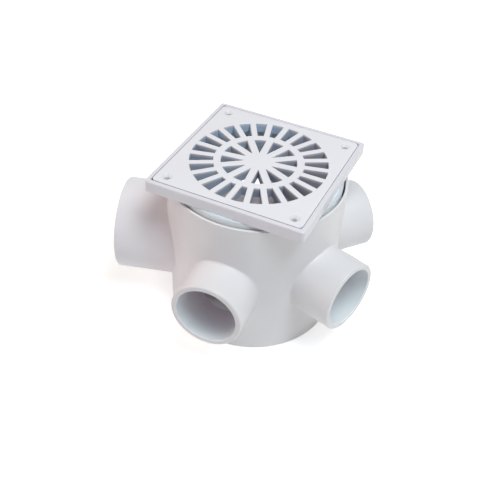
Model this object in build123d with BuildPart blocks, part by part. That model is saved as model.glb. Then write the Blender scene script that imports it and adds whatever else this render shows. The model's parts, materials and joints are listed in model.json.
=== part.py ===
# Multi-inlet gully trap: a round pot with five pipe sockets, a square frame that turns in its mouth,
# a slotted grating laid in the frame, and the pull-out bend inside that holds the water seal.
# Origin at the middle of the underside, outlet along -X, millimetres.
from build123d import *
from math import cos, radians, sin, sqrt
import os

os.makedirs("parts", exist_ok=True)

# Frame and neck
frame_side = 150.0
frame_height = 10.7
frame_turn = -16.4
frame_corner_round = 3.0
frame_edge_round = 1.3
frame_rim_width = 4.1
neck_overhang = 3.1  # The round neck stands out this far past the middle of each side.
neck_wall = 2.6
neck_seat_gap = 0.2
neck_lead = 1.0
neck_top_round = 1.6
skirt_wall = 2.6
ledge_width = 9.0
ledge_thickness = 2.7
rebate_corner_round = 1.5
rebate_edge_round = 0.35

# Pot
collar_gap = 1.8  # Between the neck and the socket in the mouth, all round.
collar_depth = 38.0
rim_wall = 2.5
rim_round = 0.7
rim_gap = 4.3
pot_taper = 2.4  # Lost in radius from the rim down to the base.
chamber_wall = 5.0
chamber_round = 7.0
floor_thickness = 4.5
base_round = 3.0
shoulder_clearance = 0.7

# Pipe sockets
socket_axis_height = 70.2
inlet_angles = (-102.8, -33.3, 33.3, 102.8)
inlet_bore_radius = 28.3
inlet_wall = 5.1
inlet_stub = 34.55
outlet_angle = 180.0
outlet_bore_radius = 41.3
outlet_wall = 3.0
outlet_stub = 46.85
outlet_socket_depth = 41.0
throat_step = 3.8
mouth_outer_round = 1.5
mouth_inner_round = 0.5
junction_round = 2.0

# Grating
plate_gap = 0.5
plate_thickness = 4.0
plate_edge_round = 0.35
plate_corner_round = 4.5
bar_depth = 9.5
outer_slots = 24
outer_slot_length = 21.5
outer_bar = 5.5
plain_ring_width = 6.9
inner_slots = 12
inner_bar = 6.8
slot_edge_chamfer = 0.4
skirt_ring_wall = 2.5
ledge_clearance = 1.2
hub_pocket_radius = 8.5
ring_groove = 2.6
groove_depth = 6.0
screw_inset = 10.2
screw_radius = 2.25
screw_head_radius = 4.8
screw_head_angle = 90.0
screw_pilot_radius = 1.5
screw_boss_radius = 4.6

# Trap bend
spigot_clearance = 2.5
elbow_radius = 28.0
elbow_inside_radius = 5.0
elbow_sill = 0.6  # The elbow's bore lies this much higher at the bottom than the spigot's.
elbow_mouth_round = 0.9
bend_wall = 3.0
bend_stop_gap = 0.3
stop_collar_overlap = 3.5
stop_collar_thickness = 3.0
stop_collar_round = 0.8
bend_mouth_height = 13.0
spigot_setback = 1.5
ring_rib_clearance = 0.7
ring_rib_width = 1.8
spigot_lead = 0.8
ring_width = 4.6
ring_side_gap = 0.1
ring_edge_round = 0.9
ring_squeeze_gap = 0.05
eye_radius = 20.0
eye_wall = 2.6
eye_stand = 12.0
eye_mouth_round = 0.5

# Cleaning plug
plug_gap = 0.1
plug_length = 11.0
plug_wall = 2.4
plug_head_thickness = 2.5
plug_head_round = 0.8
plug_lead = 0.6
plug_tab_width = 18.0
plug_tab_height = 10.0
plug_tab_thickness = 3.4
plug_tab_round = 4.0

neck_radius = frame_side / 2 + neck_overhang
neck_bore_radius = neck_radius - neck_wall
collar_bore_radius = neck_radius + collar_gap
rim_radius = collar_bore_radius + rim_wall
base_radius = rim_radius - pot_taper
throat_radius = outlet_bore_radius - throat_step
shoulder_height = socket_axis_height + throat_radius + shoulder_clearance
body_height = shoulder_height + collar_depth
inlet_radius = inlet_bore_radius + inlet_wall
outlet_radius = outlet_bore_radius + outlet_wall

frame_foot = body_height + rim_gap
frame_top = frame_foot + frame_height
rebate_side = frame_side - 2 * frame_rim_width
rebate_floor = frame_top - plate_thickness
ledge_foot = rebate_floor - ledge_thickness
ledge_bore_radius = neck_bore_radius - ledge_width
plate_side = rebate_side - 2 * plate_gap
screw_spacing = plate_side - 2 * screw_inset
skirt_ring_radius = ledge_bore_radius - ledge_clearance
outer_slot_outer_radius = skirt_ring_radius - skirt_ring_wall
outer_slot_inner_radius = outer_slot_outer_radius - outer_slot_length
inner_slot_outer_radius = outer_slot_inner_radius - plain_ring_width
turned = Plane.XY.rotated((0, 0, frame_turn))


def pot_radius(height):
    """Outer radius of the tapered pot at a height above the base."""
    return base_radius + pot_taper * height / body_height


def chamber_radius(height):
    """Inner radius of the chamber, whose wall follows the pot's taper."""
    return pot_radius(height) - chamber_wall


inlet_reach = pot_radius(socket_axis_height) + inlet_stub
outlet_reach = pot_radius(socket_axis_height) + outlet_stub


def socket_plane(angle, distance=0.0):
    """Plane across a pipe socket's axis, facing outwards, at a distance from the pot's axis."""
    outwards = Vector(cos(radians(angle)), sin(radians(angle)), 0)
    centre = outwards * distance + Vector(0, 0, socket_axis_height)
    return Plane(origin=centre, x_dir=(-outwards.Y, outwards.X, 0), z_dir=outwards)


# Body: the solid outer form first, then the chamber and the bores
with BuildPart() as body:
    with BuildSketch(Plane.XZ):
        with BuildLine():
            Polyline((0, 0), (base_radius, 0), (rim_radius, body_height), (0, body_height), close=True)
        make_face()
    revolve(axis=Axis.Z)
    for angle in inlet_angles:
        with BuildSketch(socket_plane(angle)):
            Circle(inlet_radius)
        extrude(amount=inlet_reach)
    with BuildSketch(socket_plane(outlet_angle)):
        Circle(outlet_radius)
    extrude(amount=outlet_reach)
    junctions = body.edges().filter_by(GeomType.BSPLINE)
    fillet(junctions, junction_round)
    fillet(body.faces().sort_by(Axis.Z)[0].edges(), base_round)
    with BuildSketch(Plane.XZ):
        with BuildLine():
            Polyline(
                (0, floor_thickness),
                (chamber_radius(floor_thickness), floor_thickness),
                (chamber_radius(shoulder_height), shoulder_height),
                (collar_bore_radius, shoulder_height),
                (collar_bore_radius, body_height),
                (0, body_height),
                close=True,
            )
        make_face()
    revolve(axis=Axis.Z, mode=Mode.SUBTRACT)
    chamber_foot = body.edges().filter_by(GeomType.CIRCLE).filter_by_position(
        Axis.Z, floor_thickness - 0.01, floor_thickness + 0.01
    )
    fillet(chamber_foot, chamber_round)
    for angle in inlet_angles:
        with BuildSketch(socket_plane(angle)):
            Circle(inlet_bore_radius)
        extrude(amount=inlet_reach, mode=Mode.SUBTRACT)
    with BuildSketch(socket_plane(outlet_angle)):
        Circle(throat_radius)
    extrude(amount=outlet_reach, mode=Mode.SUBTRACT)
    with BuildSketch(socket_plane(outlet_angle, outlet_reach - outlet_socket_depth)):
        Circle(outlet_bore_radius)
    extrude(amount=outlet_socket_depth, mode=Mode.SUBTRACT)
    for angle in (*inlet_angles, outlet_angle):
        outwards = Axis(socket_plane(angle).origin, socket_plane(angle).z_dir)
        fillet(body.faces().sort_by(outwards)[-1].outer_wire().edges(), mouth_outer_round)
        fillet(body.faces().sort_by(outwards)[-1].inner_wires().edges(), mouth_inner_round)
    fillet(body.faces().sort_by(Axis.Z)[-1].edges(), rim_round)
body.part.label = "body"
export_step(body.part, "parts/body.step")

# Frame: a square rim with a rebate, on a round neck that stands on the shoulder in the pot's mouth
neck_foot = shoulder_height + neck_seat_gap
crescent_foot = frame_foot - neck_wall
cored_side = frame_side - 2 * skirt_wall
with BuildPart() as frame:
    with BuildSketch(turned.offset(neck_foot)):
        Circle(neck_radius)
    extrude(amount=frame_foot - neck_foot)
    fillet(frame.faces().sort_by(Axis.Z)[-1].edges(), neck_top_round)
    chamfer(frame.faces().sort_by(Axis.Z)[0].edges(), neck_lead)
    with BuildSketch(turned.offset(frame_foot)):
        RectangleRounded(frame_side, frame_side, frame_corner_round)
    extrude(amount=frame_height)
    fillet(frame.faces().sort_by(Axis.Z)[-1].edges(), frame_edge_round)
    with BuildSketch(turned.offset(rebate_floor)):
        RectangleRounded(rebate_side, rebate_side, rebate_corner_round)
    extrude(amount=plate_thickness, mode=Mode.SUBTRACT)
    fillet(frame.faces().sort_by(Axis.Z)[-1].inner_wires().edges(), rebate_edge_round)
    with BuildSketch(turned.offset(neck_foot)):
        Circle(neck_bore_radius)
    extrude(amount=crescent_foot - neck_foot, mode=Mode.SUBTRACT)
    with BuildSketch(turned.offset(crescent_foot)):
        Circle(neck_bore_radius)
        Rectangle(cored_side, cored_side, mode=Mode.INTERSECT)
    extrude(amount=ledge_foot - crescent_foot, mode=Mode.SUBTRACT)
    with BuildSketch(turned.offset(ledge_foot)):
        Circle(ledge_bore_radius)
    extrude(amount=ledge_thickness, mode=Mode.SUBTRACT)
    with BuildSketch(turned.offset(frame_foot)):
        Rectangle(cored_side, cored_side)
        Circle(neck_radius, mode=Mode.SUBTRACT)
        with GridLocations(screw_spacing, screw_spacing, 2, 2):
            Circle(screw_boss_radius, mode=Mode.SUBTRACT)
    extrude(amount=ledge_foot - frame_foot, mode=Mode.SUBTRACT)
    with Locations(turned.offset(rebate_floor)):
        with GridLocations(screw_spacing, screw_spacing, 2, 2):
            Hole(screw_pilot_radius, depth=rebate_floor - frame_foot)
frame.part.label = "frame"
export_step(frame.part, "parts/frame.step")

# Grating: a flush plate whose bars hang down as deep ribs inside a round skirt. The inner bars are
# turned by half an outer slot's pitch, so that each one points at an outer slot.
half_slot_pitch = 180 / outer_slots
with BuildPart() as grating:
    with BuildSketch(turned.offset(rebate_floor)):
        RectangleRounded(plate_side, plate_side, plate_corner_round)
    extrude(amount=plate_thickness)
    fillet(grating.faces().sort_by(Axis.Z)[-1].edges(), plate_edge_round)
    with BuildSketch(turned.offset(frame_top - bar_depth)):
        Circle(skirt_ring_radius)
    extrude(amount=bar_depth - plate_thickness)
    with BuildSketch(turned.offset(frame_top - bar_depth)):
        Circle(outer_slot_outer_radius)
        Circle(outer_slot_inner_radius, mode=Mode.SUBTRACT)
        with PolarLocations(skirt_ring_radius / 2, outer_slots):
            Rectangle(skirt_ring_radius, outer_bar, mode=Mode.SUBTRACT)
    extrude(amount=bar_depth, mode=Mode.SUBTRACT)
    with BuildSketch(turned.offset(frame_top - bar_depth)):
        Circle(inner_slot_outer_radius)
        with PolarLocations(inner_slot_outer_radius / 2, inner_slots, start_angle=half_slot_pitch):
            Rectangle(inner_slot_outer_radius, inner_bar, mode=Mode.SUBTRACT)
    extrude(amount=bar_depth, mode=Mode.SUBTRACT)
    slot_mouths = grating.faces().sort_by(Axis.Z)[-1].inner_wires()
    chamfer([edge for mouth in slot_mouths for edge in mouth.edges()], slot_edge_chamfer)
    with BuildSketch(turned.offset(frame_top - bar_depth)):
        Circle(outer_slot_inner_radius - (plain_ring_width - ring_groove) / 2)
        Circle(inner_slot_outer_radius + (plain_ring_width - ring_groove) / 2, mode=Mode.SUBTRACT)
        Circle(hub_pocket_radius)
    extrude(amount=groove_depth, mode=Mode.SUBTRACT)
    with Locations(turned.offset(frame_top)):
        with GridLocations(screw_spacing, screw_spacing, 2, 2):
            CounterSinkHole(screw_radius, screw_head_radius, plate_thickness, screw_head_angle)
grating.part.label = "grating"
export_step(grating.part, "parts/grating.step")

# Trap bend: spigot in the outlet's throat, stop collar, elbow dipping to the water seal, cleaning eye.
# The elbow is narrower than the spigot and set lower, so that their bores nearly meet at the bottom.
spigot_radius = throat_radius - spigot_clearance
spigot_end = -(outlet_reach - outlet_socket_depth) + spigot_setback
stop_collar_radius = throat_radius + stop_collar_overlap
ring_rib_radius = throat_radius - ring_rib_clearance
collar_face = -sqrt(chamber_radius(socket_axis_height) ** 2 - stop_collar_radius**2) + bend_stop_gap
elbow_start = collar_face + stop_collar_thickness
elbow_height = socket_axis_height - (spigot_radius - elbow_radius) + elbow_sill
elbow_centre_radius = elbow_radius + elbow_inside_radius
drop_axis = elbow_start + elbow_centre_radius
heel = elbow_start + sqrt((elbow_centre_radius + elbow_radius) ** 2 - elbow_centre_radius**2)
eye_end = heel + eye_stand
eye_bore_radius = eye_radius - eye_wall


def across_bend(x, height):
    """Plane across the bend's level part at x and a height, facing +X."""
    return Plane(origin=(x, 0, height), x_dir=(0, 1, 0), z_dir=(1, 0, 0))


with BuildPart() as trap_bend:
    with BuildSketch(across_bend(spigot_end, socket_axis_height)):
        Circle(spigot_radius)
    extrude(amount=collar_face - spigot_end)
    with BuildSketch(across_bend(collar_face, socket_axis_height)):
        Circle(stop_collar_radius)
    extrude(amount=stop_collar_thickness)
    fillet(trap_bend.faces().sort_by(Axis.X)[-1].edges(), stop_collar_round)
    for rib_start in (spigot_end, spigot_end + ring_rib_width + ring_width + 2 * ring_side_gap):
        with BuildSketch(across_bend(rib_start, socket_axis_height)):
            Circle(ring_rib_radius)
        extrude(amount=ring_rib_width)
    chamfer(trap_bend.faces().sort_by(Axis.X)[0].edges(), spigot_lead)
    with BuildLine(Plane.XZ) as route:
        level = Line((collar_face, elbow_height), (elbow_start, elbow_height))
        turn = JernArc(level @ 1, level % 1, elbow_centre_radius, -90)
        Line(turn @ 1, (drop_axis, bend_mouth_height))
    with BuildSketch(across_bend(collar_face, elbow_height)):
        Circle(elbow_radius)
    sweep(path=route.wires()[0])
    fillet(trap_bend.faces().sort_by(Axis.Z)[0].edges(), elbow_mouth_round)
    with BuildSketch(across_bend(drop_axis, elbow_height)):
        Circle(eye_radius)
    extrude(amount=eye_end - drop_axis)
    with BuildSketch(across_bend(spigot_end, socket_axis_height)):
        Circle(spigot_radius - bend_wall)
    extrude(amount=collar_face - spigot_end, mode=Mode.SUBTRACT)
    with BuildSketch(across_bend(collar_face, elbow_height)):
        Circle(elbow_radius - bend_wall)
    sweep(path=route.wires()[0], mode=Mode.SUBTRACT)
    with BuildSketch(across_bend(drop_axis, elbow_height)):
        Circle(eye_bore_radius)
    extrude(amount=eye_end - drop_axis, mode=Mode.SUBTRACT)
    fillet(trap_bend.faces().sort_by(Axis.X)[-1].edges(), eye_mouth_round)
trap_bend.part.label = "trap_bend"
export_step(trap_bend.part, "parts/trap_bend.step")

# Ring seal between the spigot's ribs and the throat
with BuildPart() as trap_ring:
    with BuildSketch(across_bend(spigot_end + ring_rib_width + ring_side_gap, socket_axis_height)):
        Circle(throat_radius - ring_squeeze_gap)
        Circle(spigot_radius + ring_squeeze_gap, mode=Mode.SUBTRACT)
    extrude(amount=ring_width)
    outer_edges = trap_ring.edges().filter_by(GeomType.CIRCLE).sort_by(SortBy.RADIUS)[-2:]
    fillet(outer_edges, ring_edge_round)
trap_ring.part.label = "trap_ring"
export_step(trap_ring.part, "parts/trap_ring.step")

# Plug of the cleaning eye: hollow spigot, flat head and a finger tab
with BuildPart() as cleaning_plug:
    plug_radius = eye_bore_radius - plug_gap
    head_face = eye_end + plug_gap
    with BuildSketch(across_bend(head_face - plug_length, elbow_height)):
        Circle(plug_radius)
        Circle(plug_radius - plug_wall, mode=Mode.SUBTRACT)
    extrude(amount=plug_length)
    chamfer(cleaning_plug.faces().sort_by(Axis.X)[0].outer_wire().edges(), plug_lead)
    with BuildSketch(across_bend(head_face, elbow_height)):
        Circle(eye_radius)
    extrude(amount=plug_head_thickness)
    fillet(cleaning_plug.faces().sort_by(Axis.X)[-1].edges(), plug_head_round)
    with BuildSketch(across_bend(head_face + plug_head_thickness, elbow_height)):
        Rectangle(plug_tab_width, plug_tab_thickness)
    extrude(amount=plug_tab_height)
    tab_corners = cleaning_plug.faces().sort_by(Axis.X)[-1].edges().filter_by(Axis.Z)
    fillet(tab_corners, plug_tab_round)
cleaning_plug.part.label = "cleaning_plug"
export_step(cleaning_plug.part, "parts/cleaning_plug.step")
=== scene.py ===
"""Looks of the multi-inlet gully trap: white moulded PVC on a pale floor, seen from the front and above."""

import json
import math

import bpy
from mathutils import Matrix, Vector


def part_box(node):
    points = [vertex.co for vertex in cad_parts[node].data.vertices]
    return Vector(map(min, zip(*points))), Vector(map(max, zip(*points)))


MM = 0.001

# The photograph's view: where the camera stands round the trap, and how long its lens is.
PHOTO_SIDE = 480
FOCAL_PIXELS = 775.24
SENSOR_WIDTH = 36.0
VIEW_AZIMUTH = math.radians(7.67)
VIEW_ELEVATION = math.radians(40.5)
VIEW_ROLL = math.radians(2.81)
VIEW_DISTANCE = 740.63 * MM
VIEW_AIM = Vector((-11.67, -14.62, 77.94)) * MM

# The floor's paint, and what it and the world add where the eye sees them: together they look white.
FLOOR_SIDE = 2.6
FLOOR_PAINT = (0.92, 0.92, 0.92)
FLOOR_LIFT = 0.52
WORLD_LEVEL = 0.224
WORLD_SEEN_LEVEL = 1.0

# Soft studio lamps round the trap: name, azimuth and elevation in degrees (azimuth 0 is the front, 90 the
# right), side in metres, the light each throws on a surface square to it (1 is white), and its colour.
LAMP_DISTANCE = 1.5
LAMP_AIM = Vector((0, 0, 80)) * MM
SOFTBOXES = (
    ("key", 45, 62, 0.5, 0.39, (0.84, 0.97, 1.0)),
    ("overhead", 60, 78, 0.4, 0.285, (0.98, 1.0, 1.0)),
    ("left_fill", 270, 28, 0.8, 0.28, (1.0, 0.87, 0.72)),
    ("right_low", 90, 10, 0.8, 0.10, (1.0, 0.97, 0.85)),
    ("front_right_low", 45, 6, 0.8, 0.045, (1.0, 1.0, 1.0)),
    ("front_left_low", 315, 28, 0.8, 0.05, (1.0, 0.85, 0.95)),
)

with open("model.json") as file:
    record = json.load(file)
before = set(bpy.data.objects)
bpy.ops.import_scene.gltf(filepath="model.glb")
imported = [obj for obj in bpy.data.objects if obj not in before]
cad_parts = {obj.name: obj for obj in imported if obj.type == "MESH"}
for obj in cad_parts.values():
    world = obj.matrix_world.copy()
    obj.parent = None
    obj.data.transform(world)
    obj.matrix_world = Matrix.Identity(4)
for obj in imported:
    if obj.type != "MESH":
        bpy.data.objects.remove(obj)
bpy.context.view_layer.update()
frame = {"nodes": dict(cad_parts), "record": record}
bpy.ops.object.select_all(action="DESELECT")
scene = bpy.context.scene

# Places where the painted light and shade on the mouldings change. The square ones are measured along the
# frame's sides.
SKIN = 0.3 * MM
PLATE_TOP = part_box("grating")[1][2]
PLATE_THICKNESS = 4.0 * MM
PLATE_HALF_SIDE = 70.4 * MM
REBATE_HALF_SIDE = 70.9 * MM
SCREW_PLACE = 60.2 * MM
SCREW_HEAD_RADIUS = 4.8 * MM
SLOTTED_RADIUS = 68.0 * MM
NECK_RADIUS = 78.1 * MM
NECK_BORE_RADIUS = 75.5 * MM
FRAME_FOOT = PLATE_TOP - 10.7 * MM
FRAME_TURN = math.radians(-16.4)
# Towards the frame's right side, between the two distances below, the painted shade in the rebate and on the
# plate's edge turns lighter.
RIGHT_OF_FRAME = (math.cos(FRAME_TURN), math.sin(FRAME_TURN), 0.0)
RIGHT_EDGE_START = 66.0 * MM
RIGHT_EDGE_END = 70.0 * MM
INLET_BORE_RADIUS = 28.3 * MM
CHAMBER_RADIUS = 76.0 * MM
CHAMBER_FLOOR = 4.5 * MM


class Tree:
    """A node tree under construction, with short words for adding and joining nodes."""

    def __init__(self, tree):
        self.tree = tree
        tree.nodes.clear()

    def add(self, kind, **settings):
        node = self.tree.nodes.new(kind)
        for name, value in settings.items():
            setattr(node, name, value)
        return node

    def join(self, source, target):
        self.tree.links.new(source, target)

    def math(self, operation, first, second):
        node = self.add("ShaderNodeMath", operation=operation)
        for socket, value in zip(node.inputs, (first, second)):
            if isinstance(value, (int, float)):
                socket.default_value = value
            else:
                self.join(value, socket)
        return node.outputs[0]

    def noise(self, position, scale, detail=2.0, roughness=0.5):
        node = self.add("ShaderNodeTexNoise")
        self.join(position, node.inputs["Vector"])
        for name, value in (("Scale", scale), ("Detail", detail), ("Roughness", roughness)):
            if isinstance(value, (int, float)):
                node.inputs[name].default_value = value
            else:
                self.join(value, node.inputs[name])
        return node.outputs["Fac"]

    def remap(self, value, low, high, to_low=0.0, to_high=1.0, smooth=True):
        node = self.add("ShaderNodeMapRange")
        node.interpolation_type = "SMOOTHSTEP" if smooth else "LINEAR"
        self.join(value, node.inputs["Value"])
        limits = (("From Min", low), ("From Max", high), ("To Min", to_low), ("To Max", to_high))
        for name, limit in limits:
            if isinstance(limit, (int, float)):
                node.inputs[name].default_value = limit
            else:
                self.join(limit, node.inputs[name])
        return node.outputs["Result"]

    def blend(self, share, first, second, way="MIX"):
        node = self.add("ShaderNodeMix", data_type="RGBA", blend_type=way)
        colours = [s for s in node.inputs if s.type == "RGBA"]
        for socket, value in ((node.inputs["Factor"], share), (colours[0], first), (colours[1], second)):
            if isinstance(value, (int, float)):
                socket.default_value = value
            elif isinstance(value, tuple):
                socket.default_value = (*value, 1.0)
            else:
                self.join(value, socket)
        return next(s for s in node.outputs if s.type == "RGBA")


def new_group(name, inputs, outputs):
    """A shader node group with named sockets, and its tree."""
    group = bpy.data.node_groups.new(name, "ShaderNodeTree")
    tree = Tree(group)
    for label, kind, value in inputs:
        socket = group.interface.new_socket(label, in_out="INPUT", socket_type=kind)
        if value is not None:
            socket.default_value = value
    for label, kind in outputs:
        group.interface.new_socket(label, in_out="OUTPUT", socket_type=kind)
    return group, tree, tree.add("NodeGroupInput"), tree.add("NodeGroupOutput")


def tone_drift_group():
    """Cloudy drift of a moulding's tone, from its own colour towards a second one."""
    group, tree, given, made = new_group(
        "tone_drift",
        [
            ("Position", "NodeSocketVector", None),
            ("Colour", "NodeSocketColor", None),
            ("Drift Colour", "NodeSocketColor", None),
            ("Cloud Scale", "NodeSocketFloat", 14.0),
            ("Amount", "NodeSocketFloat", 0.5),
        ],
        [("Colour", "NodeSocketColor")],
    )
    clouds = tree.noise(given.outputs["Position"], given.outputs["Cloud Scale"], 3.0, 0.55)
    share = tree.math("MULTIPLY", tree.remap(clouds, 0.32, 0.68), given.outputs["Amount"])
    mixed = tree.blend(share, given.outputs["Colour"], given.outputs["Drift Colour"])
    tree.join(mixed, made.inputs["Colour"])
    return group


def satin_finish_group():
    """Roughness of a polished mould's print, with faint matter patches and fine rub marks."""
    group, tree, given, made = new_group(
        "satin_finish",
        [
            ("Position", "NodeSocketVector", None),
            ("Roughness", "NodeSocketFloat", 0.35),
            ("Patch Scale", "NodeSocketFloat", 22.0),
            ("Patch Depth", "NodeSocketFloat", 0.08),
            ("Rub Depth", "NodeSocketFloat", 0.05),
        ],
        [("Roughness", "NodeSocketFloat")],
    )
    position = given.outputs["Position"]
    patches = tree.remap(tree.noise(position, given.outputs["Patch Scale"], 4.0, 0.6), 0.35, 0.7)
    stretched = tree.add("ShaderNodeMapping")
    stretched.inputs["Scale"].default_value = (260.0, 260.0, 18.0)
    tree.join(position, stretched.inputs["Vector"])
    rubs = tree.remap(tree.noise(stretched.outputs["Vector"], 1.0, 3.0, 0.6), 0.55, 0.75)
    matter = tree.math("MULTIPLY", patches, given.outputs["Patch Depth"])
    rubbed = tree.math("MULTIPLY", rubs, given.outputs["Rub Depth"])
    total = tree.math("ADD", given.outputs["Roughness"], tree.math("ADD", matter, rubbed))
    tree.join(total, made.inputs["Roughness"])
    return group


def moulded_skin_group():
    """Height of a moulded skin, in metres: long soft waves under a fine grain."""
    group, tree, given, made = new_group(
        "moulded_skin",
        [
            ("Position", "NodeSocketVector", None),
            ("Wave Scale", "NodeSocketFloat", 28.0),
            ("Wave Height", "NodeSocketFloat", 0.00012),
            ("Grain Scale", "NodeSocketFloat", 1400.0),
            ("Grain Height", "NodeSocketFloat", 0.000006),
        ],
        [("Height", "NodeSocketFloat")],
    )
    position = given.outputs["Position"]
    waves = tree.noise(position, given.outputs["Wave Scale"], 1.0, 0.4)
    grain = tree.noise(position, given.outputs["Grain Scale"], 2.0, 0.5)
    waves = tree.math("MULTIPLY", waves, given.outputs["Wave Height"])
    grain = tree.math("MULTIPLY", grain, given.outputs["Grain Height"])
    tree.join(tree.math("ADD", waves, grain), made.inputs["Height"])
    return group


def side_tint_group():
    """The slow painted change of light and shade over a moulding, from a first side to the side opposite."""
    group, tree, given, made = new_group(
        "side_painted_light",
        [
            ("Position", "NodeSocketVector", None),
            ("Colour", "NodeSocketColor", None),
            ("First Tint", "NodeSocketColor", (1.0, 1.0, 1.0, 1.0)),
            ("Second Tint", "NodeSocketColor", (1.0, 1.0, 1.0, 1.0)),
            ("Towards", "NodeSocketVector", (1.0, 0.0, 0.0)),
            ("Start", "NodeSocketFloat", -0.08),
            ("End", "NodeSocketFloat", 0.08),
        ],
        [("Colour", "NodeSocketColor")],
    )
    along = tree.add("ShaderNodeVectorMath", operation="DOT_PRODUCT")
    tree.join(given.outputs["Position"], along.inputs[0])
    tree.join(given.outputs["Towards"], along.inputs[1])
    share = tree.remap(along.outputs["Value"], given.outputs["Start"], given.outputs["End"])
    tint = tree.blend(share, given.outputs["First Tint"], given.outputs["Second Tint"])
    tree.join(tree.blend(1.0, given.outputs["Colour"], tint, "MULTIPLY"), made.inputs["Colour"])
    return group


def square_place_group():
    """A place turned to the frame's sides and folded into one quarter of its square."""
    group, tree, given, made = new_group(
        "square_place",
        [("Position", "NodeSocketVector", None), ("Turn", "NodeSocketFloat", 0.0)],
        [("Position", "NodeSocketVector")],
    )
    turned = tree.add("ShaderNodeVectorRotate", rotation_type="Z_AXIS")
    tree.join(given.outputs["Position"], turned.inputs["Vector"])
    tree.join(given.outputs["Turn"], turned.inputs["Angle"])
    folded = tree.add("ShaderNodeVectorMath", operation="ABSOLUTE")
    tree.join(turned.outputs["Vector"], folded.inputs[0])
    tree.join(folded.outputs["Vector"], made.inputs["Position"])
    return group


def gap_tone_group():
    """Painted shade on the walls of the narrow gap between a square plate and the rebate it lies in."""
    group, tree, given, made = new_group(
        "gap_painted_shade",
        [
            ("Position", "NodeSocketVector", None),
            ("Colour", "NodeSocketColor", None),
            ("Gap Shade Colour", "NodeSocketColor", (0.1, 0.11, 0.13, 1.0)),
            ("Inner", "NodeSocketFloat", 0.07),
            ("Outer", "NodeSocketFloat", 0.071),
            ("Bottom", "NodeSocketFloat", 0.157),
            ("Top", "NodeSocketFloat", 0.161),
        ],
        [("Colour", "NodeSocketColor")],
    )
    split = tree.add("ShaderNodeSeparateXYZ")
    tree.join(given.outputs["Position"], split.inputs["Vector"])
    from_axis = tree.math("MAXIMUM", split.outputs["X"], split.outputs["Y"])
    mask = tree.math("GREATER_THAN", from_axis, given.outputs["Inner"])
    mask = tree.math("MULTIPLY", mask, tree.math("LESS_THAN", from_axis, given.outputs["Outer"]))
    height = split.outputs["Z"]
    mask = tree.math("MULTIPLY", mask, tree.math("GREATER_THAN", height, given.outputs["Bottom"]))
    mask = tree.math("MULTIPLY", mask, tree.math("LESS_THAN", height, given.outputs["Top"]))
    mixed = tree.blend(mask, given.outputs["Colour"], given.outputs["Gap Shade Colour"])
    tree.join(mixed, made.inputs["Colour"])
    return group


def hollow_tone_group():
    """Painted shade and light on the walls of a round opening, growing with their depth below its top."""
    group, tree, given, made = new_group(
        "hollow_painted_shade",
        [
            ("Position", "NodeSocketVector", None),
            ("Colour", "NodeSocketColor", None),
            ("Painted Shade Colour", "NodeSocketColor", (0.45, 0.5, 0.58, 1.0)),
            ("Centre", "NodeSocketVector", (0.0, 0.0, 0.0)),
            ("Radius", "NodeSocketFloat", 0.07),
            ("Top", "NodeSocketFloat", 0.16),
            ("Depth", "NodeSocketFloat", 0.01),
            ("Bottom", "NodeSocketFloat", -1.0),
        ],
        [("Colour", "NodeSocketColor")],
    )
    split = tree.add("ShaderNodeSeparateXYZ")
    tree.join(given.outputs["Position"], split.inputs["Vector"])
    flat = tree.add("ShaderNodeCombineXYZ")
    tree.join(split.outputs["X"], flat.inputs["X"])
    tree.join(split.outputs["Y"], flat.inputs["Y"])
    from_axis = tree.add("ShaderNodeVectorMath", operation="DISTANCE")
    tree.join(flat.outputs["Vector"], from_axis.inputs[0])
    tree.join(given.outputs["Centre"], from_axis.inputs[1])
    inside = tree.math("LESS_THAN", from_axis.outputs["Value"], given.outputs["Radius"])
    above = tree.math("GREATER_THAN", split.outputs["Z"], given.outputs["Bottom"])
    below = tree.math("SUBTRACT", given.outputs["Top"], split.outputs["Z"])
    sunk = tree.remap(tree.math("DIVIDE", below, given.outputs["Depth"]), 0.0, 1.0)
    mask = tree.math("MULTIPLY", tree.math("MULTIPLY", inside, sunk), above)
    mixed = tree.blend(mask, given.outputs["Colour"], given.outputs["Painted Shade Colour"])
    tree.join(mixed, made.inputs["Colour"])
    return group


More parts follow.
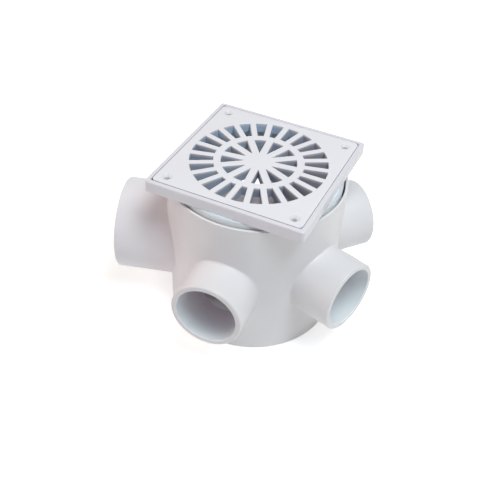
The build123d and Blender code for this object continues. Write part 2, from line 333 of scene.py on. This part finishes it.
def bore_tone_group():
    """Painted light and shade inside a socket's bore: one colour near its mouth, another at its bottom."""
    group, tree, given, made = new_group(
        "bore_painted_light",
        [
            ("Position", "NodeSocketVector", None),
            ("Colour", "NodeSocketColor", None),
            ("Mouth Colour", "NodeSocketColor", (0.86, 0.89, 0.93, 1.0)),
            ("Deep Colour", "NodeSocketColor", (0.80, 0.75, 0.79, 1.0)),
            ("Bottom", "NodeSocketVector", (0.0, 0.0, 0.0)),
            ("Axis", "NodeSocketVector", (1.0, 0.0, 0.0)),
            ("Radius", "NodeSocketFloat", 0.03),
            ("Length", "NodeSocketFloat", 0.04),
        ],
        [("Colour", "NodeSocketColor")],
    )
    place = tree.add("ShaderNodeVectorMath", operation="SUBTRACT")
    tree.join(given.outputs["Position"], place.inputs[0])
    tree.join(given.outputs["Bottom"], place.inputs[1])
    along = tree.add("ShaderNodeVectorMath", operation="DOT_PRODUCT")
    tree.join(place.outputs["Vector"], along.inputs[0])
    tree.join(given.outputs["Axis"], along.inputs[1])
    on_axis = tree.add("ShaderNodeVectorMath", operation="SCALE")
    tree.join(given.outputs["Axis"], on_axis.inputs[0])
    tree.join(along.outputs["Value"], on_axis.inputs["Scale"])
    from_axis = tree.add("ShaderNodeVectorMath", operation="DISTANCE")
    tree.join(place.outputs["Vector"], from_axis.inputs[0])
    tree.join(on_axis.outputs["Vector"], from_axis.inputs[1])
    near = tree.math("LESS_THAN", from_axis.outputs["Value"], given.outputs["Radius"])
    ahead = tree.math("GREATER_THAN", along.outputs["Value"], 0.0)
    inside = tree.math("MULTIPLY", near, ahead)
    share = tree.remap(tree.math("DIVIDE", along.outputs["Value"], given.outputs["Length"]), 0.1, 0.9)
    tone = tree.blend(share, given.outputs["Deep Colour"], given.outputs["Mouth Colour"])
    tree.join(tree.blend(inside, given.outputs["Colour"], tone), made.inputs["Colour"])
    return group


TONE_DRIFT = tone_drift_group()
SIDE_PAINTED_LIGHT = side_tint_group()
SQUARE_PLACE = square_place_group()
GAP_PAINTED_SHADE = gap_tone_group()
HOLLOW_PAINTED_SHADE = hollow_tone_group()
BORE_PAINTED_LIGHT = bore_tone_group()
SATIN_FINISH = satin_finish_group()
MOULDED_SKIN = moulded_skin_group()


def moulded_material(name, colour, drift_colour, tone, finish, skin, painted_tints=(), ior=1.53):
    """A moulded plastic or rubber. The dictionaries give the named inputs of the shared groups.

    The painted light and shade are laid over the colour one after another, each a group, its inputs and its
    place: "round" is the object's own, "square" is turned to the frame's sides and folded into one quarter.
    An input may itself be such a group, whose colour is then used.
    """
    material = bpy.data.materials.new(name)
    material.use_nodes = True
    tree = Tree(material.node_tree)
    places = {"round": tree.add("ShaderNodeTexCoord").outputs["Object"]}

    def effect(group, values, place="round"):
        node = tree.add("ShaderNodeGroup", node_tree=group)
        tree.join(places[place], node.inputs["Position"])
        for label, value in values.items():
            if isinstance(value, tuple) and isinstance(value[0], bpy.types.NodeTree):
                tree.join(effect(*value).outputs["Colour"], node.inputs[label])
            else:
                node.inputs[label].default_value = value
        return node

    drift = effect(TONE_DRIFT, tone)
    drift.inputs["Colour"].default_value = (*colour, 1.0)
    drift.inputs["Drift Colour"].default_value = (*drift_colour, 1.0)
    tone_made = drift.outputs["Colour"]
    if any(place == "square" for _, _, place in painted_tints):
        places["square"] = effect(SQUARE_PLACE, {"Turn": -FRAME_TURN}).outputs["Position"]
    for group, values, place in painted_tints:
        shade = effect(group, values, place)
        tree.join(tone_made, shade.inputs["Colour"])
        tone_made = shade.outputs["Colour"]
    sheen = effect(SATIN_FINISH, finish)
    relief = effect(MOULDED_SKIN, skin)
    bump = tree.add("ShaderNodeBump")
    bump.inputs["Strength"].default_value = 1.0
    bump.inputs["Distance"].default_value = 1.0
    tree.join(relief.outputs["Height"], bump.inputs["Height"])
    shader = tree.add("ShaderNodeBsdfPrincipled")
    shader.inputs["IOR"].default_value = ior
    tree.join(tone_made, shader.inputs["Base Color"])
    tree.join(sheen.outputs["Roughness"], shader.inputs["Roughness"])
    tree.join(bump.outputs["Normal"], shader.inputs["Normal"])
    output = tree.add("ShaderNodeOutputMaterial")
    tree.join(shader.outputs["BSDF"], output.inputs["Surface"])
    return material


def socket_bores():
    """The bores of the pot's sockets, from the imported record: bottom, axis, radius and length in metres."""
    for mount in frame["record"]["mounts"]:
        if mount["kind"] == "bore":
            middle, axis = Vector(mount["pos_m"]), Vector(mount["axis"])
            radius, length = mount["dims"]["r_mm"] * MM, mount["dims"]["length_mm"] * MM
            yield middle - axis * length / 2, axis, radius, length


def pot_pvc():
    """The pot's white PVC, with painted warm light at the outlet's side, painted light on the chamber floor,
    and painted mauve to teal light and shade in its bores.
    """
    # Painted light and shade deep in the inlets: pinker and darker on the left, lighter teal on the right.
    deep_painted_light = {
        "Colour": (0.80, 0.75, 0.79, 1.0),
        "First Tint": (0.93, 0.85, 0.90, 1.0),
        "Second Tint": (1.05, 1.10, 1.08, 1.0),
        "Start": 0.0,
        "End": 0.06,
    }
    # Painted light and shade in every bore: lighter and bluish near the mouth, turning to the deep colour
    # inside.
    bores = []
    for bottom, axis, radius, length in socket_bores():
        bore = {"Bottom": bottom, "Axis": axis, "Radius": radius + SKIN, "Length": length}
        if radius < INLET_BORE_RADIUS + SKIN:
            bore["Deep Colour"] = (SIDE_PAINTED_LIGHT, deep_painted_light, "round")
        bores.append((BORE_PAINTED_LIGHT, bore, "round"))
    # Painted light: the outlet's side is lighter, with painted warm pink light towards its junction with the
    # pot, fading out towards the middle.
    outlet_painted_light = {
        "Colour": (1.0, 1.0, 1.0, 1.0),
        "First Tint": (1.06, 1.05, 1.07, 1.0),
        "Second Tint": (1.06, 0.995, 1.01, 1.0),
        "Start": -0.11,
        "End": -0.08,
    }
    warm_painted_light = {
        "First Tint": (SIDE_PAINTED_LIGHT, outlet_painted_light, "round"),
        "Second Tint": (1.0, 1.0, 1.0, 1.0),
        "Start": -0.09,
        "End": 0.0,
    }
    # Painted light: the chamber's floor and the foot of its wall turn lighter and pinker, fading out upwards.
    chamber_floor_painted_light = {
        "Painted Shade Colour": (0.93, 0.88, 0.92, 1.0),
        "Radius": CHAMBER_RADIUS,
        "Top": CHAMBER_FLOOR + 12.0 * MM,
        "Depth": 6.0 * MM,
        "Bottom": CHAMBER_FLOOR - SKIN,
    }
    return moulded_material(
        "pot_pvc",
        colour=(0.752, 0.733, 0.757),
        drift_colour=(0.725, 0.700, 0.722),
        painted_tints=[(SIDE_PAINTED_LIGHT, warm_painted_light, "round"), (HOLLOW_PAINTED_SHADE, chamber_floor_painted_light, "round"), *bores],
        tone={"Cloud Scale": 12.0, "Amount": 0.8},
        finish={"Roughness": 0.34, "Patch Scale": 20.0, "Patch Depth": 0.10, "Rub Depth": 0.05},
        skin={"Wave Scale": 24.0, "Wave Height": 0.00014, "Grain Scale": 1300.0, "Grain Height": 0.000004},
    )


def frame_pvc():
    """The frame's white PVC, with painted bluish light and shade on the neck walls and painted shade in the
    rebate.
    """
    # Painted shade: frame surfaces inside the neck's radius turn dark bluish below the frame's foot; the next
    # two layers paint over most of it, leaving a dark band where the neck meets the foot.
    neck_shoulder_painted_shade = {
        "Painted Shade Colour": (0.60, 0.63, 0.69, 1.0),
        "Radius": NECK_RADIUS + SKIN,
        "Top": FRAME_FOOT + 0.4 * MM,
        "Depth": 0.3 * MM,
    }
    # Painted light: the neck's outside below the foot turns a pale bluish white.
    neck_outside_painted_light = {
        "Painted Shade Colour": (0.92, 0.95, 0.97, 1.0),
        "Radius": NECK_RADIUS + SKIN,
        "Top": FRAME_FOOT - 0.5 * MM,
        "Depth": 2.5 * MM,
    }
    # Painted light: the neck's inner wall turns a pale bluish white, growing with depth below the plate's
    # underside.
    neck_inside_painted_light = {
        "Painted Shade Colour": (0.82, 0.90, 0.95, 1.0),
        "Radius": NECK_BORE_RADIUS + SKIN,
        "Top": PLATE_TOP - PLATE_THICKNESS,
        "Depth": 12.0 * MM,
    }
    # Painted shade in the rebate the plate lies in: grey, lighter towards the frame's right side.
    rebate_shade_colour = {
        "Colour": (0.58, 0.58, 0.62, 1.0),
        "Second Tint": (1.4, 1.4, 1.4, 1.0),
        "Towards": RIGHT_OF_FRAME,
        "Start": RIGHT_EDGE_START,
        "End": RIGHT_EDGE_END,
    }
    rebate = {
        "Gap Shade Colour": (SIDE_PAINTED_LIGHT, rebate_shade_colour, "round"),
        "Inner": 0.0,
        "Outer": REBATE_HALF_SIDE + SKIN,
        "Bottom": PLATE_TOP - PLATE_THICKNESS - SKIN,
        "Top": PLATE_TOP - 0.5 * MM,
    }
    return moulded_material(
        "frame_pvc",
        colour=(0.742, 0.714, 0.770),
        drift_colour=(0.718, 0.690, 0.745),
        tone={"Cloud Scale": 16.0, "Amount": 0.7},
        finish={"Roughness": 0.32, "Patch Scale": 26.0, "Patch Depth": 0.08, "Rub Depth": 0.05},
        skin={"Wave Scale": 30.0, "Wave Height": 0.00008, "Grain Scale": 1400.0, "Grain Height": 0.000004},
        painted_tints=[
            (HOLLOW_PAINTED_SHADE, neck_shoulder_painted_shade, "round"),
            (HOLLOW_PAINTED_SHADE, neck_outside_painted_light, "round"),
            (HOLLOW_PAINTED_SHADE, neck_inside_painted_light, "round"),
            (GAP_PAINTED_SHADE, rebate, "square"),
        ],
    )


def grating_pvc():
    """The grating's white PVC, with painted bluish shade on the slot walls, painted shade in the screw seats
    and painted dark shade on its edge in the gap.
    """
    # Painted shade on the slot walls: dark bluish, cooler on the left and mauve on the right.
    slot_painted_shade = {
        "Colour": (0.44, 0.47, 0.56, 1.0),
        "First Tint": (0.95, 0.99, 1.01, 1.0),
        "Second Tint": (0.92, 0.86, 0.88, 1.0),
        "Start": -0.02,
        "End": 0.05,
    }
    # Painted light on the slot walls towards the back: lighter teal.
    slot_painted_light_from_back = {
        "Colour": (SIDE_PAINTED_LIGHT, slot_painted_shade, "round"),
        "First Tint": (1.26, 1.42, 1.42, 1.0),
        "Towards": (0.25, -0.97, 0.0),
        "Start": -0.062,
        "End": -0.03,
    }
    # The painted shade and light above grow on the slot walls with depth below the plate's top, inside the
    # slotted circle.
    slot_walls_painted_shading = {
        "Painted Shade Colour": (SIDE_PAINTED_LIGHT, slot_painted_light_from_back, "round"),
        "Radius": SLOTTED_RADIUS,
        "Top": PLATE_TOP,
        "Depth": PLATE_THICKNESS,
    }
    # Painted shade on the plate's edge faces in the gap: near black, lighter towards the frame's right side.
    edge_shade_colour = {
        "Colour": (0.26, 0.27, 0.29, 1.0),
        "Second Tint": (3.0, 3.0, 3.0, 1.0),
        "Towards": RIGHT_OF_FRAME,
        "Start": RIGHT_EDGE_START,
        "End": RIGHT_EDGE_END,
    }
    plate_edge_painted_shade = {
        "Gap Shade Colour": (SIDE_PAINTED_LIGHT, edge_shade_colour, "round"),
        "Inner": PLATE_HALF_SIDE - 0.15 * MM,
        "Outer": REBATE_HALF_SIDE,
        "Bottom": PLATE_TOP - PLATE_THICKNESS - SKIN,
        "Top": PLATE_TOP - 0.1 * MM,
    }
    # Painted shade in the screw seats: grey in the countersink, darker in the hole below it.
    screw_seat_painted_shade = {
        "Painted Shade Colour": (0.70, 0.705, 0.725, 1.0),
        "Centre": (SCREW_PLACE, SCREW_PLACE, 0.0),
        "Radius": SCREW_HEAD_RADIUS + SKIN,
        "Top": PLATE_TOP - 0.1 * MM,
        "Depth": 1.0 * MM,
    }
    screw_hole_painted_shade = {
        "Painted Shade Colour": (0.66, 0.66, 0.69, 1.0),
        "Centre": (SCREW_PLACE, SCREW_PLACE, 0.0),
        "Radius": SCREW_HEAD_RADIUS + SKIN,
        "Top": PLATE_TOP - 1.6 * MM,
        "Depth": 1.2 * MM,
    }
    return moulded_material(
        "grating_pvc",
        colour=(0.805, 0.785, 0.83),
        drift_colour=(0.78, 0.76, 0.805),
        tone={"Cloud Scale": 18.0, "Amount": 0.7},
        finish={"Roughness": 0.38, "Patch Scale": 30.0, "Patch Depth": 0.08, "Rub Depth": 0.06},
        skin={"Wave Scale": 32.0, "Wave Height": 0.00007, "Grain Scale": 1100.0, "Grain Height": 0.000006},
        painted_tints=[
            (HOLLOW_PAINTED_SHADE, slot_walls_painted_shading, "round"),
            (HOLLOW_PAINTED_SHADE, screw_seat_painted_shade, "square"),
            (HOLLOW_PAINTED_SHADE, screw_hole_painted_shade, "square"),
            (GAP_PAINTED_SHADE, plate_edge_painted_shade, "square"),
        ],
    )


def bend_pvc():
    """The trap bend's plainer, slightly duller PVC."""
    return moulded_material(
        "bend_pvc",
        colour=(0.78, 0.78, 0.78),
        drift_colour=(0.75, 0.745, 0.74),
        tone={"Cloud Scale": 20.0, "Amount": 0.8},
        finish={"Roughness": 0.36, "Patch Scale": 24.0, "Patch Depth": 0.10, "Rub Depth": 0.06},
        skin={"Wave Scale": 30.0, "Wave Height": 0.0001, "Grain Scale": 1300.0, "Grain Height": 0.000004},
    )


def seal_rubber():
    """The ring's black rubber."""
    return moulded_material(
        "seal_rubber",
        colour=(0.030, 0.030, 0.032),
        drift_colour=(0.055, 0.054, 0.053),
        tone={"Cloud Scale": 60.0, "Amount": 0.6},
        finish={"Roughness": 0.62, "Patch Scale": 70.0, "Patch Depth": 0.15, "Rub Depth": 0.08},
        skin={"Wave Scale": 90.0, "Wave Height": 0.00004, "Grain Scale": 2200.0, "Grain Height": 0.00001},
    )


def plug_plastic():
    """The cleaning plug's matter plastic."""
    return moulded_material(
        "plug_plastic",
        colour=(0.77, 0.77, 0.765),
        drift_colour=(0.74, 0.735, 0.72),
        tone={"Cloud Scale": 40.0, "Amount": 0.7},
        finish={"Roughness": 0.48, "Patch Scale": 50.0, "Patch Depth": 0.10, "Rub Depth": 0.06},
        skin={"Wave Scale": 60.0, "Wave Height": 0.00005, "Grain Scale": 1800.0, "Grain Height": 0.000008},
    )


def dress(node_name, material):
    """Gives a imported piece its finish, in every slot it has."""
    slots = frame["nodes"][node_name].data.materials
    for index in range(len(slots)):
        slots[index] = material


def pale_material(name, colour, lift):
    """White as far as the eye sees it directly or in gloss, and a plain pale paint for all other light."""
    material = bpy.data.materials.new(name)
    material.use_nodes = True
    tree = Tree(material.node_tree)
    paint = tree.add("ShaderNodeBsdfDiffuse")
    paint.inputs["Color"].default_value = (*colour, 1.0)
    path = tree.add("ShaderNodeLightPath")
    seen = tree.math("MAXIMUM", path.outputs["Is Camera Ray"], path.outputs["Is Glossy Ray"])
    seen = tree.math("MAXIMUM", seen, path.outputs["Is Transmission Ray"])
    glow = tree.add("ShaderNodeEmission")
    tree.join(tree.math("MULTIPLY", seen, lift), glow.inputs["Strength"])
    both = tree.add("ShaderNodeAddShader")
    tree.join(paint.outputs["BSDF"], both.inputs[0])
    tree.join(glow.outputs["Emission"], both.inputs[1])
    output = tree.add("ShaderNodeOutputMaterial")
    tree.join(both.outputs["Shader"], output.inputs["Surface"])
    return material


def lay_floor():
    bpy.ops.mesh.primitive_plane_add(size=FLOOR_SIDE, location=(0, 0, 0))
    floor = bpy.context.object
    floor.name = "floor"
    floor.data.materials.append(pale_material("pale_floor", FLOOR_PAINT, FLOOR_LIFT))


def light_world(level, seen_level):
    world = bpy.data.worlds.new("studio")
    scene.world = world
    world.use_nodes = True
    tree = Tree(world.node_tree)
    path = tree.add("ShaderNodeLightPath")
    seen = tree.math("MAXIMUM", path.outputs["Is Camera Ray"], path.outputs["Is Glossy Ray"])
    seen = tree.math("MAXIMUM", seen, path.outputs["Is Transmission Ray"])
    strength = tree.remap(seen, 0.0, 1.0, level, seen_level, smooth=False)
    glow = tree.add("ShaderNodeBackground")
    glow.inputs["Color"].default_value = (1.0, 1.0, 1.0, 1.0)
    tree.join(strength, glow.inputs["Strength"])
    output = tree.add("ShaderNodeOutputWorld")
    tree.join(glow.outputs["Background"], output.inputs["Surface"])


def hang_softbox(name, azimuth, elevation, size, level, colour):
    """A square lamp facing the trap. Its level is the light on a surface square to it, 1 being white."""
    a, e = math.radians(azimuth), math.radians(elevation)
    away = Vector((math.sin(a) * math.cos(e), -math.cos(a) * math.cos(e), math.sin(e))) * LAMP_DISTANCE
    data = bpy.data.lights.new(name, "AREA")
    data.shape = "SQUARE"
    data.size = size
    data.color = colour
    data.energy = level * math.pi * math.pi * away.length_squared
    lamp = bpy.data.objects.new(name, data)
    lamp.rotation_euler = away.to_track_quat("Z", "Y").to_euler()
    lamp.location = LAMP_AIM + away
    scene.collection.objects.link(lamp)


def stand_camera():
    """The camera at the photograph's place, looking at the aim with the photograph's slight roll."""
    a, e, r = VIEW_AZIMUTH, VIEW_ELEVATION, VIEW_ROLL
    back = Vector((math.sin(a) * math.cos(e), -math.cos(a) * math.cos(e), math.sin(e)))
    level_right = Vector((math.cos(a), math.sin(a), 0))
    level_up = back.cross(level_right)
    right = level_right * math.cos(r) + level_up * math.sin(r)
    up = level_up * math.cos(r) - level_right * math.sin(r)
    data = bpy.data.cameras.new("photo_view")
    data.sensor_width = SENSOR_WIDTH
    data.lens = FOCAL_PIXELS / PHOTO_SIDE * SENSOR_WIDTH
    camera = bpy.data.objects.new("photo_view", data)
    turn = Matrix((right, up, back)).transposed().to_4x4()
    camera.matrix_world = Matrix.Translation(VIEW_AIM + back * VIEW_DISTANCE) @ turn
    scene.collection.objects.link(camera)
    scene.camera = camera


dress("body", pot_pvc())
dress("frame", frame_pvc())
dress("grating", grating_pvc())
dress("trap_bend", bend_pvc())
dress("trap_ring", seal_rubber())
dress("cleaning_plug", plug_plastic())

lay_floor()
light_world(WORLD_LEVEL, WORLD_SEEN_LEVEL)
for lamp_name, azimuth, elevation, size, level, colour in SOFTBOXES:
    hang_softbox(lamp_name, azimuth, elevation, size, level, colour)
stand_camera()

scene.view_settings.view_transform = "Standard"
